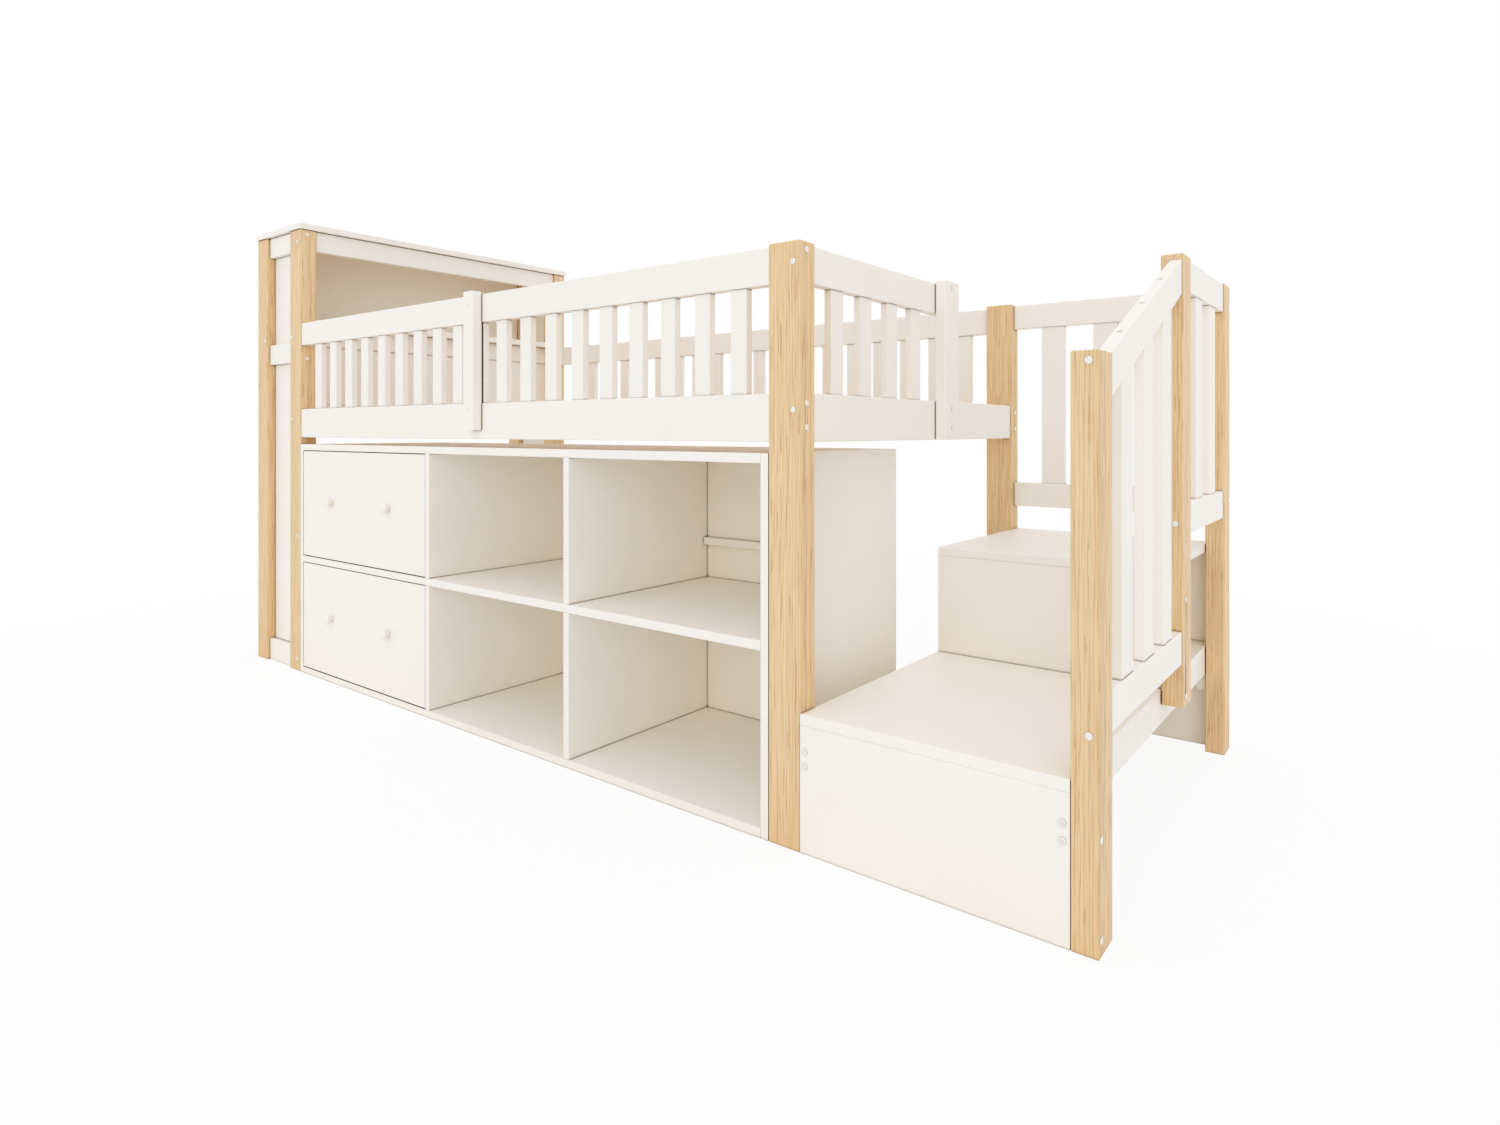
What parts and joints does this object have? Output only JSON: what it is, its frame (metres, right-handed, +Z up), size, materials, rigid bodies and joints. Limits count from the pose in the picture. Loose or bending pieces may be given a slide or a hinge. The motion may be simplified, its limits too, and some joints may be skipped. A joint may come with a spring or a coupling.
{
  "type": "mid sleeper bed",
  "caption": "Mid sleeper bed with painted guard rails on pine posts, a bookcase headboard, a storage cabinet with drawers and open bays below, and a guarded side staircase.",
  "frame": {"origin": "on the floor below the middle of the whole bed's box", "axes": "+X from the headboard to the stairs, +Y from the front to the rear, +Z up"},
  "size_m": [2.8764, 1.024, 1.422],
  "materials": {
    "white_paint": "warm white satin paint on wood and board, edges slightly eased",
    "pine_posts": "clear matt lacquer on pine, grain along each post",
    "slat_pine": "planed unfinished pine",
    "white_hardboard": "thin white painted board",
    "white_knobs": "satin painted turned wood",
    "white_fixings": "white coated heads, smooth and slightly glossy"
  },
  "bodies": {
    "bed_frame": {"bed_slats": "slat_pine", "bookcase_back_panel": "white_hardboard", "bookcase_shelf": "white_paint", "bookcase_top": "white_paint", "cabinet_back_battens": "white_paint", "cabinet_back_panel": "white_hardboard", "cabinet_bottom": "white_paint", "cabinet_dividers": "white_paint", "cabinet_left_side": "white_paint", "cabinet_middle_shelf": "white_paint", "cabinet_right_side": "white_paint", "cabinet_top": "white_paint", "drawer_runners": "slat_pine", "foot_end_rail": "white_paint", "foot_guard_balusters": "white_paint", "foot_guard_top_rail": "white_paint", "foot_guard_upright": "white_paint", "foot_post_front": "pine_posts", "foot_post_rear": "pine_posts", "frame_bolts": "white_fixings", "front_guard_balusters": "white_paint", "front_guard_top_rail": "white_paint", "front_side_rail": "white_paint", "head_cross_rails": "white_paint", "head_fascia_rail": "white_paint", "head_post_front_inner": "pine_posts", "head_post_front_outer": "pine_posts", "head_post_rear_inner": "pine_posts", "head_post_rear_outer": "pine_posts", "head_side_panels": "white_paint", "head_side_rails": "white_paint", "headboard_panel": "white_paint", "headboard_rail": "white_paint", "rear_guard_balusters": "white_paint", "rear_guard_top_rail": "white_paint", "rear_side_rail": "white_paint", "shelf_support_rails": "white_paint", "side_guard_uprights": "white_paint", "slat_ledgers": "slat_pine", "stair_aprons": "white_paint", "stair_corner_blocks": "white_paint", "stair_front_panel": "white_paint", "stair_guard_balusters": "white_paint", "stair_guard_rails": "white_paint", "stair_handrail": "white_paint", "stair_lower_tread": "white_paint", "stair_post_entry": "pine_posts", "stair_post_hanging": "pine_posts", "stair_post_rear": "pine_posts", "stair_rear_panel": "white_paint", "stair_riser": "white_paint", "stair_upper_tread": "white_paint"},
    "upper_drawer": {"upper_drawer_bottom": "white_hardboard", "upper_drawer_box": "white_paint", "upper_drawer_front": "white_paint", "upper_drawer_knobs": "white_knobs"},
    "lower_drawer": {"lower_drawer_bottom": "white_hardboard", "lower_drawer_box": "white_paint", "lower_drawer_front": "white_paint", "lower_drawer_knobs": "white_knobs"}
  },
  "joints": [
    {"name": "upper_drawer_slide", "type": "slide", "parent": "bed_frame", "child": "upper_drawer", "axis": [0, -1, 0], "range_m": [0, 0.3]},
    {"name": "lower_drawer_slide", "type": "slide", "parent": "bed_frame", "child": "lower_drawer", "axis": [0, -1, 0], "range_m": [0, 0.3]}
  ]
}
